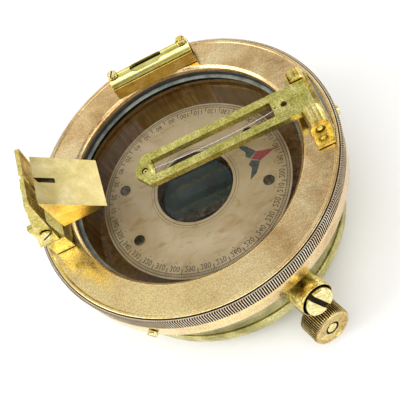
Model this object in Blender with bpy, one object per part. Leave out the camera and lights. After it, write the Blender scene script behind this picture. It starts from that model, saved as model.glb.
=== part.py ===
"""Prismatic sighting compass: liquid bowl on a turning base, sight ring, folding sight and prism.

The origin is the middle of the foot's underside and +Z points up. +X points from the prism, over
the middle of the card, to the hinge of the folding sight. Sizes are in millimetres, and meshes
are made in metres.
"""
import math

import bmesh
import bpy
from mathutils import Vector

MM = 0.001
GAP = 0.3                  # clearance between touching pieces

# Facets of round pieces
BIG_STEPS = 40
MID_STEPS = 24
SMALL_STEPS = 10

# Base casting and foot
FOOT_RADIUS = 30.0
FOOT_RECESS_RADIUS = 11.0
FOOT_HOLE_CIRCLE = 22.0
FOOT_HOLE_RADIUS = 2.5
FOOT_HOLE_DEPTH = 6.0
BASE_UNDERSIDE = 8.0
BASE_FLOOR = 11.0
BASE_TOP = 19.6
BASE_RADIUS = 58.7
BASE_INNER_RADIUS = 53.6
SPINDLE_BORE = 6.0

# Bowl
BOWL_BOTTOM = BASE_TOP + 0.4
BOWL_RADIUS = 58.0
CHAMBER_RADIUS = 52.0
CHAMBER_FLOOR = 25.0
SKIRT_RADIUS = 53.0
HUB_RADIUS = 18.0
FLANGE_RADIUS = 62.3
FLANGE_BOTTOM = 43.0
FLANGE_TOP = 54.2
GLASS_SEAT = 46.8
SEAT_BORE = 50.3
THREAD_BORE = 53.7
CLAMPED_RADIUS = THREAD_BORE - GAP
GROOVE_RADIUS = 60.4
GROOVE_HALF_WIDTH = 1.4

# Sight ring that turns on the bowl
RING_TOP = 58.0
RING_FACE = RING_TOP - 0.4
RING_RADIUS = 65.0
RING_LIP_RADIUS = 62.8
RING_OPENING = 49.2
RING_SKIRT_INNER = FLANGE_RADIUS + GAP
RING_PLATE_UNDERSIDE = 54.6
KNURL_BOTTOM = 50.9
SKIRT_BOTTOM = 42.5
RETAINER_HEIGHT = 46.3
RETAINER_AZIMUTHS = (0.0, 120.0, 240.0)
ON_RING = RING_FACE + GAP

# Card
CARD_HEIGHT = 41.0
CARD_RADIUS = 42.0
CARD_HOLE = 17.0
RIVET_X = 29.5
RIVET_Y = 13.3
RIVET_RADIUS = 2.4
PIVOT_TIP = CARD_HEIGHT - 5.1

# Filler boss on the bowl and clamp screw on the base: both slope up as they leave the wall
FILLER_AZIMUTH = -67.0
FILLER_SLOPE = 12.0
FILLER_FACE = (73.0, 34.0)         # distance from the axis and height of the plug's face
FILLER_SLOT_TURN = 107.0
CLAMP_AZIMUTH = -68.6
CLAMP_SLOPE = 8.0
CLAMP_FACE = (77.0, 16.5)
CLAMP_BORE = 2.2

# Folding sight
HINGE_X = 55.3
HINGE_Z = 62.3
ARM_TOP = 64.6
ARM_THICKNESS = 2.9
ARM_HALF_WIDTH = 7.25
ARM_END_X = 58.0
ARM_SHOULDER_X = -12.25
ARM_TIP_X = -16.7
WINDOW_X = (-9.0, 42.5)
WINDOW_HALF_WIDTH = 3.65
KNUCKLE_RADIUS = 2.3
PIN_RADIUS = 1.2
LUG_FACE = ARM_HALF_WIDTH + 0.35

# Spirit level
LEVEL_X = (-15.5, 22.5)
LEVEL_Y = (47.7, 57.3)
LEVEL_BLOCK_TOP = 64.1
LEVEL_AXIS = (52.5, 63.0)          # Y and Z of the tube's axis
LEVEL_TUBE_RADIUS = 4.2
LEVEL_BORE = 3.1
LEVEL_SCREW_X = (-13.0, 20.0)
LEVEL_WINDOW_X = (-5.0, 10.0)

# Prism and eye vane
BLOCK_X = (-61.4, -50.7)
BLOCK_HALF_WIDTH = 13.5
BLOCK_TOP = 66.3
VANE_TOP = 93.5
CHEEK_INNER = 11.7
VANE_FOOT = 77.4
VANE_THICKNESS = 1.8
VANE_FRONT_TOP_X = -49.9
VANE_FRONT_FOOT_X = -53.1          # at the top of the block: the vane leans in as it rises
VANE_SCREW = (-55.0, 73.0)         # X and Z of the two vane screws
CASE_OUTER_X = -48.4
CASE_BOTTOM = 70.0
CASE_TOP = 89.0
CASE_HALF_WIDTH = 11.6
CASE_WALL = 1.0
SLIT_WIDTH = 1.7


def clear_scene():
    for item in list(bpy.data.objects):
        bpy.data.objects.remove(item, do_unlink=True)


def make_material(name, colour, roughness, metallic):
    material = bpy.data.materials.new(name)
    material.use_nodes = True
    shader = material.node_tree.nodes["Principled BSDF"]
    shader.inputs["Base Color"].default_value = (*colour, 1.0)
    shader.inputs["Roughness"].default_value = roughness
    shader.inputs["Metallic"].default_value = metallic
    return material


def arc(centre, radius, start, end, steps):
    """Points on an arc, angles in degrees."""
    points = []
    for index in range(steps + 1):
        angle = math.radians(start + (end - start) * index / steps)
        points.append((centre[0] + radius * math.cos(angle), centre[1] + radius * math.sin(angle)))
    return points


def finish_mesh(name, bm, material):
    """Close the bmesh into an object with outward faces and smooth round sides."""
    bmesh.ops.remove_doubles(bm, verts=bm.verts, dist=1e-6)
    bmesh.ops.recalc_face_normals(bm, faces=bm.faces)
    mesh = bpy.data.meshes.new(name)
    bm.to_mesh(mesh)
    bm.free()
    mesh.shade_smooth()
    mesh.set_sharp_from_angle(angle=math.radians(35))
    item = bpy.data.objects.new(name, mesh)
    bpy.context.scene.collection.objects.link(item)
    if material is not None:
        mesh.materials.append(material)
    return item


def turned(name, profile, material, steps=BIG_STEPS):
    """A solid of revolution about its own Z axis, from a closed profile of (radius, height)."""
    bm = bmesh.new()
    verts = [bm.verts.new((radius * MM, 0.0, height * MM)) for radius, height in profile]
    edges = []
    for index, start in enumerate(verts):
        end = verts[(index + 1) % len(verts)]
        if start.co.x > 0.0 or end.co.x > 0.0:
            edges.append(bm.edges.new((start, end)))
    bmesh.ops.spin(bm, geom=verts + edges, cent=(0, 0, 0), axis=(0, 0, 1), angle=2 * math.pi,
                   steps=steps, use_merge=True)
    return finish_mesh(name, bm, material)


def tube_profile(inner, outer, low, high):
    return [(inner, low), (outer, low), (outer, high), (inner, high)]


def rod_profile(radius, low, high):
    return [(0.0, low), (radius, low), (radius, high), (0.0, high)]


def extruded(name, outline, axis, low, high, material):
    """A straight solid from an outline: (x, y) for axis Z, (x, z) for axis Y, (y, z) for X."""
    place = {
        "X": lambda a, b, depth: (depth, a, b),
        "Y": lambda a, b, depth: (a, depth, b),
        "Z": lambda a, b, depth: (a, b, depth),
    }[axis]
    bm = bmesh.new()
    verts = [bm.verts.new(Vector(place(a, b, low)) * MM) for a, b in outline]
    face = bm.faces.new(verts)
    top = bmesh.ops.extrude_face_region(bm, geom=[face])
    moved = [part for part in top["geom"] if isinstance(part, bmesh.types.BMVert)]
    bmesh.ops.translate(bm, verts=moved, vec=Vector(place(0.0, 0.0, high - low)) * MM)
    return finish_mesh(name, bm, material)


def block(name, x_range, y_range, z_range, material):
    outline = [(x_range[0], y_range[0]), (x_range[1], y_range[0]),
               (x_range[1], y_range[1]), (x_range[0], y_range[1])]
    return extruded(name, outline, "Z", z_range[0], z_range[1], material)


def rod(name, radius, start, end, material, steps=SMALL_STEPS):
    """A round bar between two points."""
    start = Vector(start)
    along = Vector(end) - start
    item = turned(name, rod_profile(radius, 0.0, along.length), material, steps)
    place_along(item, start, along)
    return item


def place_along(item, origin, direction):
    """Put the object's own Z axis along a direction, with its origin at a point."""
    item.rotation_euler = Vector(direction).to_track_quat("Z", "Y").to_euler()
    item.location = Vector(origin) * MM


def combine(item, tool, operation):
    """A Boolean modifier whose tool is a hidden guide."""
    modifier = item.modifiers.new(operation.lower(), "BOOLEAN")
    modifier.operation = operation
    modifier.solver = "EXACT"
    modifier.object = tool
    tool.hide_render = True
    tool.display_type = "WIRE"
    tool.name = "guide_" + tool.name


def cut(item, tool):
    combine(item, tool, "DIFFERENCE")


def add(item, tool):
    combine(item, tool, "UNION")


def axis_frame(azimuth, slope, face):
    """The point in the middle of a radial piece's face, and the direction out of the wall."""
    angle = math.radians(azimuth)
    rise = math.radians(slope)
    outward = Vector((math.cos(angle) * math.cos(rise), math.sin(angle) * math.cos(rise), math.sin(rise)))
    point = Vector((face[0] * math.cos(angle), face[0] * math.sin(angle), face[1]))
    return point, outward


def radial(name, profile, azimuth, slope, face, material, steps=MID_STEPS):
    """A turned piece on a radial axis; its profile's height is the distance out from the face."""
    point, outward = axis_frame(azimuth, slope, face)
    item = turned(name, profile, material, steps)
    place_along(item, point, outward)
    return item


def mount(pieces, name, position):
    """Hang the pieces on an empty that stands on their joint's axis."""
    empty = bpy.data.objects.new(name, None)
    empty.location = Vector(position) * MM
    bpy.context.scene.collection.objects.link(empty)
    for piece in pieces:
        piece.parent = empty
        piece.location -= empty.location


def make_base(brass):
    outline = [
        (SPINDLE_BORE, BASE_FLOOR), (SPINDLE_BORE, BASE_UNDERSIDE),
        (FOOT_RECESS_RADIUS, BASE_UNDERSIDE), (FOOT_RECESS_RADIUS, 0.0),
        (FOOT_RADIUS - 0.6, 0.0), (FOOT_RADIUS, 0.6), (FOOT_RADIUS, BASE_UNDERSIDE),
    ]
    outline += arc((BASE_RADIUS - 6.0, BASE_UNDERSIDE + 6.0), 6.0, -90.0, 0.0, 5)
    outline += [
        (BASE_RADIUS, BASE_TOP), (BASE_INNER_RADIUS, BASE_TOP), (BASE_INNER_RADIUS, BASE_FLOOR),
    ]
    base = turned("base_casting", outline, brass)
    boss = radial("clamp_boss", rod_profile(4.2, -21.5, -11.0), CLAMP_AZIMUTH, CLAMP_SLOPE, CLAMP_FACE, None,
                  SMALL_STEPS)
    add(base, boss)
    bore = radial("clamp_bore", rod_profile(CLAMP_BORE, -30.0, 0.0), CLAMP_AZIMUTH, CLAMP_SLOPE, CLAMP_FACE,
                  None, SMALL_STEPS)
    cut(base, bore)
    for index in range(3):
        angle = math.radians(90.0 + 120.0 * index)
        spot = (FOOT_HOLE_CIRCLE * math.cos(angle), FOOT_HOLE_CIRCLE * math.sin(angle))
        cut(base, rod(f"foot_hole_{index}", FOOT_HOLE_RADIUS, (*spot, -1.0), (*spot, FOOT_HOLE_DEPTH), None))
    cap = turned("spindle_cap", rod_profile(FOOT_RECESS_RADIUS - GAP, 0.0, 1.6), brass, MID_STEPS)
    return [base, cap]


def make_bowl(brass, steel, fibre, black):
    groove_low = RETAINER_HEIGHT - GROOVE_HALF_WIDTH
    groove_high = RETAINER_HEIGHT + GROOVE_HALF_WIDTH
    outline = [
        (0.0, CHAMBER_FLOOR), (0.0, 23.5), (4.0, 23.5), (4.0, 12.2), (HUB_RADIUS, 12.2),
        (HUB_RADIUS, 22.0), (42.0, 22.0), (42.0, 20.3), (46.3, 20.3), (46.3, 18.0), (50.0, 18.0),
        (50.0, 11.6), (SKIRT_RADIUS, 11.6), (SKIRT_RADIUS, BOWL_BOTTOM), (BOWL_RADIUS, BOWL_BOTTOM),
        (BOWL_RADIUS, FLANGE_BOTTOM), (FLANGE_RADIUS, FLANGE_BOTTOM), (FLANGE_RADIUS, groove_low),
        (GROOVE_RADIUS, groove_low), (GROOVE_RADIUS, groove_high), (FLANGE_RADIUS, groove_high),
        (FLANGE_RADIUS, FLANGE_TOP), (THREAD_BORE, FLANGE_TOP), (THREAD_BORE, GLASS_SEAT),
        (SEAT_BORE, GLASS_SEAT), (SEAT_BORE, GLASS_SEAT - 1.6), (CHAMBER_RADIUS, GLASS_SEAT - 1.6),
        (CHAMBER_RADIUS, CHAMBER_FLOOR),
    ]
    bowl = turned("bowl_shell", outline, brass)
    where = (FILLER_AZIMUTH, FILLER_SLOPE, FILLER_FACE)
    add(bowl, radial("filler_boss", rod_profile(7.2, -17.5, -2.0), *where, None))
    cut(bowl, radial("filler_recess", rod_profile(6.2, -5.6, 3.0), *where, None))
    cut(bowl, radial("filler_bore", rod_profile(3.2, -30.0, 0.0), *where, None, SMALL_STEPS))
    for index in range(4):
        angle = math.radians(45.0 + 90.0 * index)
        spot = (30.0 * math.cos(angle), 30.0 * math.sin(angle))
        cut(bowl, rod(f"port_{index}", 2.0, (*spot, 20.5), (*spot, 27.0), None))

    plug = radial("filler_plug", [(0.0, -17.0), (2.9, -17.0), (2.9, -4.2), (5.9, -4.2), (5.9, -0.4), (5.5, 0.0),
                                  (0.0, 0.0)], *where, brass)
    cut(plug, slot_cutter("filler_slot", where, 2.2, 8.0, 1.8, FILLER_SLOT_TURN))
    washer = radial("filler_washer", tube_profile(3.3, 6.0, -5.3, -4.5), *where, fibre)

    spindle = turned("bowl_spindle", [(0.0, 2.2), (3.4, 2.2), (3.7, 2.6), (3.7, 8.0), (5.7, 8.0), (5.7, 11.9),
                                      (3.7, 11.9), (3.7, 23.2), (0.0, 23.2)], steel, MID_STEPS)
    thrust = turned("thrust_washer", tube_profile(6.0, 16.0, 11.3, 11.9), fibre, MID_STEPS)
    spindle_washer = turned("spindle_washer", tube_profile(4.0, 9.0, 6.9, 7.7), steel, MID_STEPS)
    nut = extruded("spindle_nut", arc((0.0, 0.0), 7.6, 0.0, 300.0, 5), "Z", 3.0, 6.6, brass)
    cut(nut, rod("nut_bore", 4.0, (0, 0, 1.0), (0, 0, 8.0), None, MID_STEPS))

    wave = [(18.4, 19.4), (24.0, 19.4), (26.0, 20.2), (28.0, 20.2), (30.0, 19.4), (33.0, 19.4), (35.0, 20.2),
            (37.0, 20.2), (39.0, 19.4), (46.0, 19.4)]
    sheet = wave + [(radius, height + 0.6) for radius, height in reversed(wave)]
    diaphragm = turned("expansion_diaphragm", sheet, steel, MID_STEPS)
    ring = turned("diaphragm_ring", tube_profile(42.4, 46.0, 18.2, 19.1), brass)

    post_top = PIVOT_TIP - 1.7
    pivot = turned("pivot_post", [(0.0, 25.3), (5.0, 25.3), (5.0, 26.1), (1.8, 27.2), (1.8, post_top),
                                  (0.0, post_top)], brass, SMALL_STEPS)
    point = turned("pivot_point", [(0.0, PIVOT_TIP - 1.4), (0.7, PIVOT_TIP - 1.4), (0.7, PIVOT_TIP - 0.9),
                                   (0.0, PIVOT_TIP)], steel, SMALL_STEPS)

    seal_low = GLASS_SEAT + GAP
    glass_low = seal_low + 0.6 + GAP
    seal_high = glass_low + 2.6 + GAP
    ring_low = seal_high + 0.7 + GAP
    lower = turned("lower_gasket", tube_profile(SEAT_BORE + 0.1, CLAMPED_RADIUS, seal_low, seal_low + 0.6),
                   black)
    glass = turned("window_glass", rod_profile(CLAMPED_RADIUS, glass_low, glass_low + 2.6),
                   material_named("glass"))
    upper = turned("upper_gasket", tube_profile(48.3, CLAMPED_RADIUS, seal_high, seal_high + 0.7),
                   material_named("seal"))
    profile = [(49.5, ring_low), (CLAMPED_RADIUS, ring_low), (CLAMPED_RADIUS, FLANGE_TOP), (49.9, FLANGE_TOP),
               (49.5, FLANGE_TOP - 0.4)]
    retainer = turned("glass_retainer", profile, black)
    pieces = [bowl, plug, washer, spindle, thrust, spindle_washer, nut, diaphragm, ring, pivot, point, lower,
              glass, upper, retainer]
    mount(pieces, "bowl_axis", (0.0, 0.0, BOWL_BOTTOM))
    return pieces


def slot_cutter(name, where, width, length, depth, turn):
    """A screwdriver slot across a radial piece's face, turned about its axis by an angle."""
    point, outward = axis_frame(*where)
    tool = block(name, (-length, length), (-width / 2, width / 2), (-depth, depth), None)
    place_along(tool, point, outward)
    tool.rotation_euler.rotate_axis("Z", math.radians(turn))
    return tool


def material_named(name):
    return bpy.data.materials[name]


def make_card(card_paint, black, steel, brass):
    disc = turned("card_disc", tube_profile(CARD_HOLE, CARD_RADIUS, CARD_HEIGHT - 0.4, CARD_HEIGHT), card_paint)
    below_card = [(3.0, 3.4), (3.0, 8.6), (11.0, 9.4), (15.6, 7.8), (16.6, 5.4), (16.0, 3.0), (0.0, 2.7),
                  (0.0, 3.4)]
    profile = [(radius, CARD_HEIGHT - depth) for radius, depth in below_card]
    buoy = turned("card_float", profile, black, MID_STEPS)
    jewel = turned("jewel_cup", [(0.0, PIVOT_TIP + 0.6), (1.0, PIVOT_TIP + 0.2), (2.6, PIVOT_TIP + 0.2),
                                 (2.6, PIVOT_TIP + 1.4), (0.0, PIVOT_TIP + 1.4)], steel, SMALL_STEPS)
    pieces = [disc, buoy, jewel]
    for side_name, side in (("right", -1.0), ("left", 1.0)):
        y_range = (side * RIVET_Y - 2.0, side * RIVET_Y + 2.0)
        z_range = (CARD_HEIGHT - 2.4, CARD_HEIGHT - 0.7)
        pieces.append(block(f"card_magnet_{side_name}", (-34.0, 34.0), y_range, z_range, steel))
        for end_name, end in (("rear", -1.0), ("front", 1.0)):
            spot = (end * RIVET_X, side * RIVET_Y)
            pieces.append(rod(f"card_rivet_{end_name}_{side_name}", RIVET_RADIUS, (*spot, CARD_HEIGHT + 0.3),
                              (*spot, CARD_HEIGHT + 0.8), brass))
    mount(pieces, "card_axis", (0.0, 0.0, PIVOT_TIP))
    return pieces


def make_ring(bronze, brass):
    outline = [
        (RING_OPENING, RING_PLATE_UNDERSIDE), (RING_OPENING, RING_TOP - 1.6), (50.4, RING_FACE),
        (RING_LIP_RADIUS - 0.7, RING_FACE), (RING_LIP_RADIUS - 0.3, RING_TOP), (63.4, RING_TOP),
        (63.7, RING_TOP - 0.9), (64.2, RING_TOP - 0.9), (64.5, RING_TOP - 0.3), (RING_RADIUS, RING_TOP - 0.8),
        (RING_RADIUS, KNURL_BOTTOM), (RING_RADIUS - 0.3, KNURL_BOTTOM - 0.3),
        (RING_RADIUS - 0.3, SKIRT_BOTTOM), (RING_SKIRT_INNER, SKIRT_BOTTOM),
        (RING_SKIRT_INNER, RING_PLATE_UNDERSIDE),
    ]
    ring = turned("verge_ring", outline, bronze)
    screws = []
    for index, azimuth in enumerate(RETAINER_AZIMUTHS):
        where = (azimuth, 0.0, (66.6, RETAINER_HEIGHT))
        cut(ring, radial(f"retainer_hole_{index}", rod_profile(1.3, -6.0, 2.0), *where, None, SMALL_STEPS))
        profile = [(0.0, -5.7), (1.0, -5.7), (1.0, -1.6), (2.0, -1.6), (2.0, -0.3), (1.7, 0.0), (0.0, 0.0)]
        screws.append(radial(f"retaining_screw_{index + 1}", profile, *where, brass, SMALL_STEPS))
    return [ring] + screws


def make_level(brass, gold):
    y_axis, z_axis = LEVEL_AXIS
    base = extruded("level_block", [(LEVEL_Y[0], ON_RING), (LEVEL_Y[1], ON_RING), (LEVEL_Y[1], LEVEL_BLOCK_TOP),
                                    (LEVEL_Y[0], LEVEL_BLOCK_TOP)], "X", *LEVEL_X, gold)
    beyond = (LEVEL_X[0] - 2.0, LEVEL_X[1] + 2.0)
    cut(base, rod("level_groove", LEVEL_TUBE_RADIUS + GAP, (beyond[0], y_axis, z_axis),
                  (beyond[1], y_axis, z_axis), None, MID_STEPS))
    length = LEVEL_X[1] - LEVEL_X[0]
    tube = turned("level_tube", tube_profile(LEVEL_BORE, LEVEL_TUBE_RADIUS, 0.0, length), brass, MID_STEPS)
    place_along(tube, (LEVEL_X[0], y_axis, z_axis), (1.0, 0.0, 0.0))
    half = 2.7
    ends = (LEVEL_WINDOW_X[0] + half, LEVEL_WINDOW_X[1] - half)
    window = arc((ends[0], y_axis), half, 270.0, 90.0, 8) + arc((ends[1], y_axis), half, 90.0, -90.0, 8)
    cut(tube, extruded("level_window", window, "Z", z_axis + 0.9, z_axis + 8.0, None))
    vial = rod("level_vial", LEVEL_BORE - 0.4, (-9.0, y_axis, z_axis), (14.0, y_axis, z_axis),
               material_named("glass"), SMALL_STEPS)
    pieces = [base, tube, vial]
    for index, x in enumerate(LEVEL_SCREW_X):
        ends = sorted((LEVEL_X[index], (-9.6, 14.6)[index]))
        plug = rod(f"level_plug_{index + 1}", LEVEL_BORE - GAP, (ends[0], y_axis, z_axis),
                   (ends[1], y_axis, z_axis), brass)
        tool = rod(f"level_hole_{index}", 1.1, (x, y_axis, ON_RING + 0.4), (x, y_axis, 70.0), None, 12)
        cut(tube, tool)
        cut(base, tool)
        cut(plug, tool)
        profile = [(0.0, 58.8), (0.8, 58.8), (0.8, 67.5), (2.2, 67.5), (2.2, 69.0), (1.9, 69.3), (0.0, 69.3)]
        screw = turned_at(f"level_screw_{index + 1}", profile, (x, y_axis), brass)
        cut(screw, block(f"level_slot_{index}", (x - 0.35, x + 0.35), (y_axis - 3, y_axis + 3), (68.5, 71.0),
                         None))
        pieces += [plug, screw]
    return pieces


def turned_at(name, profile, spot, material, steps=SMALL_STEPS):
    """A turned piece on a vertical axis through a spot (x, y)."""
    item = turned(name, profile, material, steps)
    item.location = Vector((*spot, 0.0)) * MM
    return item


def make_sight_bracket(brass, gold):
    outline = [(51.7, -21.5), (57.8, -21.5), (59.8, -15.5), (60.0, 15.0), (51.7, 15.0)]
    plate = extruded("sight_bracket", outline, "Z", ON_RING, 59.1, gold)
    near_lug = [(51.7, 58.5)] + arc((55.6, 63.4), 3.9, 180.0, 0.0, 8) + [(59.5, 58.5)]
    add(plate, extruded("near_lug", near_lug, "Y", -16.4, -LUG_FACE, None))
    far_lug = [(52.6, 58.5)] + arc((55.8, 63.2), 3.2, 180.0, 0.0, 8) + [(59.0, 58.5)]
    add(plate, extruded("far_lug", far_lug, "Y", LUG_FACE, 13.0, None))
    hinge = (HINGE_X, HINGE_Z)
    cut(plate, rod("pin_hole", PIN_RADIUS + GAP, (hinge[0], -20.0, hinge[1]), (hinge[0], 16.0, hinge[1]), None))
    cut(plate, rod("pin_recess", 2.1, (hinge[0], -18.0, hinge[1]), (hinge[0], -15.6, hinge[1]), None))
    pin = rod("sight_hinge_pin", PIN_RADIUS, (hinge[0], -16.0, hinge[1]), (hinge[0], 13.0, hinge[1]), brass)
    return [plate, pin]


def make_sight_arm(brass, steel):
    width = ARM_HALF_WIDTH
    outline = [(ARM_END_X, -width), (ARM_END_X, width), (ARM_SHOULDER_X, width), (ARM_TIP_X, 0.0),
               (ARM_SHOULDER_X, -width)]
    low = ARM_TOP - ARM_THICKNESS
    arm = extruded("sight_arm", outline, "Z", low, ARM_TOP, brass)
    add(arm, rod("knuckle", KNUCKLE_RADIUS, (HINGE_X, -width + 0.1, HINGE_Z), (HINGE_X, width - 0.1, HINGE_Z),
                 None, MID_STEPS))
    cut(arm, block("sight_window", WINDOW_X, (-WINDOW_HALF_WIDTH, WINDOW_HALF_WIDTH), (50.0, 70.0), None))
    cut(arm, rod("arm_bore", PIN_RADIUS + GAP, (HINGE_X, -12.0, HINGE_Z), (HINGE_X, 12.0, HINGE_Z), None))
    cut(arm, rod("peep_hole", 1.3, (47.3, 0, 50.0), (47.3, 0, 70.0), None))
    cut(arm, rod("tip_hole", 1.4, (-12.4, 0, 50.0), (-12.4, 0, 70.0), None))
    middle = ARM_TOP - ARM_THICKNESS / 2
    wire = rod("sight_wire", 0.2, (WINDOW_X[0] + GAP, 0, middle), (WINDOW_X[1] - GAP, 0, middle), steel, 8)
    screw = rod("wire_screw", 1.1, (-12.4, 0, low + 0.2), (-12.4, 0, ARM_TOP - 0.2), brass)
    pieces = [arm, wire, screw]
    mount(pieces, "sight_hinge_axis", (HINGE_X, 0.0, HINGE_Z))
    return pieces


def front_x(height):
    """X of the front of the leaning eye vane at a height."""
    share = (height - BLOCK_TOP) / (VANE_TOP - BLOCK_TOP)
    return VANE_FRONT_FOOT_X + (VANE_FRONT_TOP_X - VANE_FRONT_FOOT_X) * share


def make_prism_block(gold, brass):
    """The fixed block on the ring, its two ears, the eye vane with its cheeks, and their screws."""
    inset = 2.4
    outline = [(BLOCK_X[1], -BLOCK_HALF_WIDTH), (BLOCK_X[1], BLOCK_HALF_WIDTH),
               (BLOCK_X[0] + inset, BLOCK_HALF_WIDTH), (BLOCK_X[0], BLOCK_HALF_WIDTH - 4.5),
               (BLOCK_X[0], 4.5 - BLOCK_HALF_WIDTH), (BLOCK_X[0] + inset, -BLOCK_HALF_WIDTH)]
    base = extruded("prism_block", outline, "Z", ON_RING, BLOCK_TOP, gold)
    ear_width = 2.4
    for side in (-1.0, 1.0):
        middle = side * (CHEEK_INNER - GAP - ear_width / 2)
        y_range = (middle - ear_width / 2, middle + ear_width / 2)
        add(base, block("ear", (-60.5, -53.5), y_range, (BLOCK_TOP - 1.0, 77.0), None))
    cheek_foot = BLOCK_TOP + GAP
    cheek_top = VANE_TOP - 0.3
    proud = 0.15
    cheek = [(BLOCK_X[0], cheek_foot), (front_x(cheek_foot) + proud, cheek_foot),
             (front_x(cheek_top) + proud, cheek_top), (front_x(cheek_top) - 0.9, VANE_TOP + proud),
             (front_x(cheek_top) - VANE_THICKNESS - proud, cheek_top)]
    plate = [(front_x(VANE_FOOT) - VANE_THICKNESS, VANE_FOOT), (front_x(VANE_FOOT), VANE_FOOT),
             (front_x(VANE_TOP), VANE_TOP), (front_x(VANE_TOP) - VANE_THICKNESS, VANE_TOP)]
    vane = extruded("eye_vane", plate, "Y", -CHEEK_INNER - 0.2, CHEEK_INNER + 0.2, brass)
    for side in (-1.0, 1.0):
        y_range = sorted((side * CHEEK_INNER, side * BLOCK_HALF_WIDTH))
        add(vane, extruded("cheek", cheek, "Y", *y_range, None))
    slit = SLIT_WIDTH / 2
    cut(vane, block("vane_slit", (-60.0, -45.0), (-slit, slit), (VANE_FOOT + 1.0, 99.0), None))
    notch = [(-55.0, -4.6), (-55.0, 4.6), (-50.9, 0.0)]
    cut(vane, extruded("vane_groove", notch, "Z", 85.5, 99.0, None))
    x, z = VANE_SCREW
    tool = rod("vane_screw_bore", 1.3, (x, -20.0, z), (x, 20.0, z), None)
    cut(vane, tool)
    cut(base, tool)
    pieces = [base, vane]
    for side_name, side in (("right", -1.0), ("left", 1.0)):
        screw = turned(f"vane_screw_{side_name}", [(0.0, 0.0), (1.0, 0.0), (1.0, 4.6), (2.5, 4.6), (2.5, 5.5),
                                                   (2.1, 5.9), (0.0, 5.9)], brass, SMALL_STEPS)
        place_along(screw, (x, side * (BLOCK_HALF_WIDTH - 4.3), z), (0.0, side, 0.0))
        slot = block(f"vane_slot_{side_name}", (-3.0, 3.0), (-2.0, 2.0), (-0.35, 0.35), None)
        slot.location = Vector((x, side * (BLOCK_HALF_WIDTH + 3.0), z)) * MM
        slot.rotation_euler = (0.0, math.radians(-25.0), 0.0)
        cut(screw, slot)
        pieces.append(screw)
    return pieces


def make_prism(brass):
    """The 45 degree prism's case, with its glass, eye lens and focusing screw."""
    outer = [(CASE_OUTER_X, CASE_BOTTOM), (CASE_OUTER_X + CASE_TOP - CASE_BOTTOM, CASE_BOTTOM),
             (CASE_OUTER_X, CASE_TOP)]
    case = extruded("prism_case", outer, "Y", -CASE_HALF_WIDTH, CASE_HALF_WIDTH, brass)
    inset = CASE_WALL * (1.0 + math.sqrt(2.0))
    left = CASE_OUTER_X + CASE_WALL
    low = CASE_BOTTOM - 2.0
    rise = CASE_TOP - CASE_WALL - inset + 1.0
    room = [(left, low), (left + rise - low, low), (left, rise)]
    inner = CASE_HALF_WIDTH - CASE_WALL
    cut(case, extruded("prism_room", room, "Y", -inner, inner, None))
    slit = SLIT_WIDTH / 2
    cut(case, block("case_slit", (CASE_OUTER_X - 3.0, CASE_OUTER_X + 5.8), (-slit, slit), (82.6, 95.0), None))
    cut(case, rod("eye_hole", 4.3, (CASE_OUTER_X - 4.0, 0, 76.0), (CASE_OUTER_X + 2.0, 0, 76.0), None))
    lens = rod("eye_lens", 4.0, (CASE_OUTER_X + 0.1, 0, 76.0), (CASE_OUTER_X + 0.8, 0, 76.0),
               material_named("glass"))
    side = 9.6
    foot = (left + GAP, CASE_BOTTOM + 0.3)
    glass = extruded("prism_glass", [foot, (foot[0] + side, foot[1]), (foot[0], foot[1] + side)], "Y",
                     GAP - inner, inner - GAP, material_named("glass"))
    profile = [(0.0, 0.0), (0.6, 0.0), (0.6, 5.3), (1.9, 5.3), (1.9, 6.4), (0.0, 6.4)]
    screw = turned("focus_screw", profile, brass, SMALL_STEPS)
    place_along(screw, (CASE_OUTER_X - 0.3, 0.0, 80.2), (-1.0, 0.0, 0.0))
    pieces = [case, lens, glass, screw]
    mount(pieces, "prism_slide_axis", (CASE_OUTER_X, 0.0, CASE_BOTTOM))
    return pieces


def make_clamp(bronze, brass, steel):
    where = (CLAMP_AZIMUTH, CLAMP_SLOPE, CLAMP_FACE)
    pad = radial("clamp_pad", rod_profile(1.9, -23.6, -21.9), *where, brass, SMALL_STEPS)
    screw = radial("clamp_screw", rod_profile(1.9, -21.6, -1.5), *where, steel, SMALL_STEPS)
    knob = radial("clamp_knob", [(2.2, -10.6), (7.4, -10.6), (8.4, -9.6), (8.4, -1.0), (7.7, 0.0), (6.6, 0.0),
                                 (6.2, -0.6), (2.2, -0.6)], *where, bronze)
    return [pad, screw, knob]


def build():
    clear_scene()
    brass = make_material("brass", (0.62, 0.50, 0.24), 0.32, 1.0)
    gold = make_material("bright_brass", (0.72, 0.53, 0.20), 0.25, 1.0)
    dull = make_material("dull_brass", (0.42, 0.38, 0.22), 0.45, 1.0)
    bronze = make_material("bronze", (0.60, 0.42, 0.30), 0.30, 1.0)
    dark_bronze = make_material("dark_bronze", (0.30, 0.20, 0.13), 0.40, 1.0)
    steel = make_material("steel", (0.45, 0.44, 0.42), 0.35, 1.0)
    black = make_material("black_paint", (0.03, 0.03, 0.03), 0.40, 0.0)
    fibre = make_material("fibre", (0.08, 0.06, 0.05), 0.70, 0.0)
    card_paint = make_material("card_paint", (0.55, 0.45, 0.32), 0.60, 0.0)
    make_material("glass", (0.85, 0.90, 0.88), 0.05, 0.0)
    make_material("seal", (0.55, 0.60, 0.58), 0.60, 0.0)
    make_base(brass)
    make_bowl(dull, steel, fibre, black)
    make_card(card_paint, black, steel, dark_bronze)
    ring_pieces = make_ring(bronze, brass)
    ring_pieces += make_level(brass, gold)
    ring_pieces += make_sight_bracket(brass, gold)
    ring_pieces += make_prism_block(gold, brass)
    mount(ring_pieces, "ring_axis", (0.0, 0.0, RETAINER_HEIGHT))
    make_sight_arm(brass, steel)
    make_prism(brass)
    make_clamp(dark_bronze, brass, steel)


build()
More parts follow.
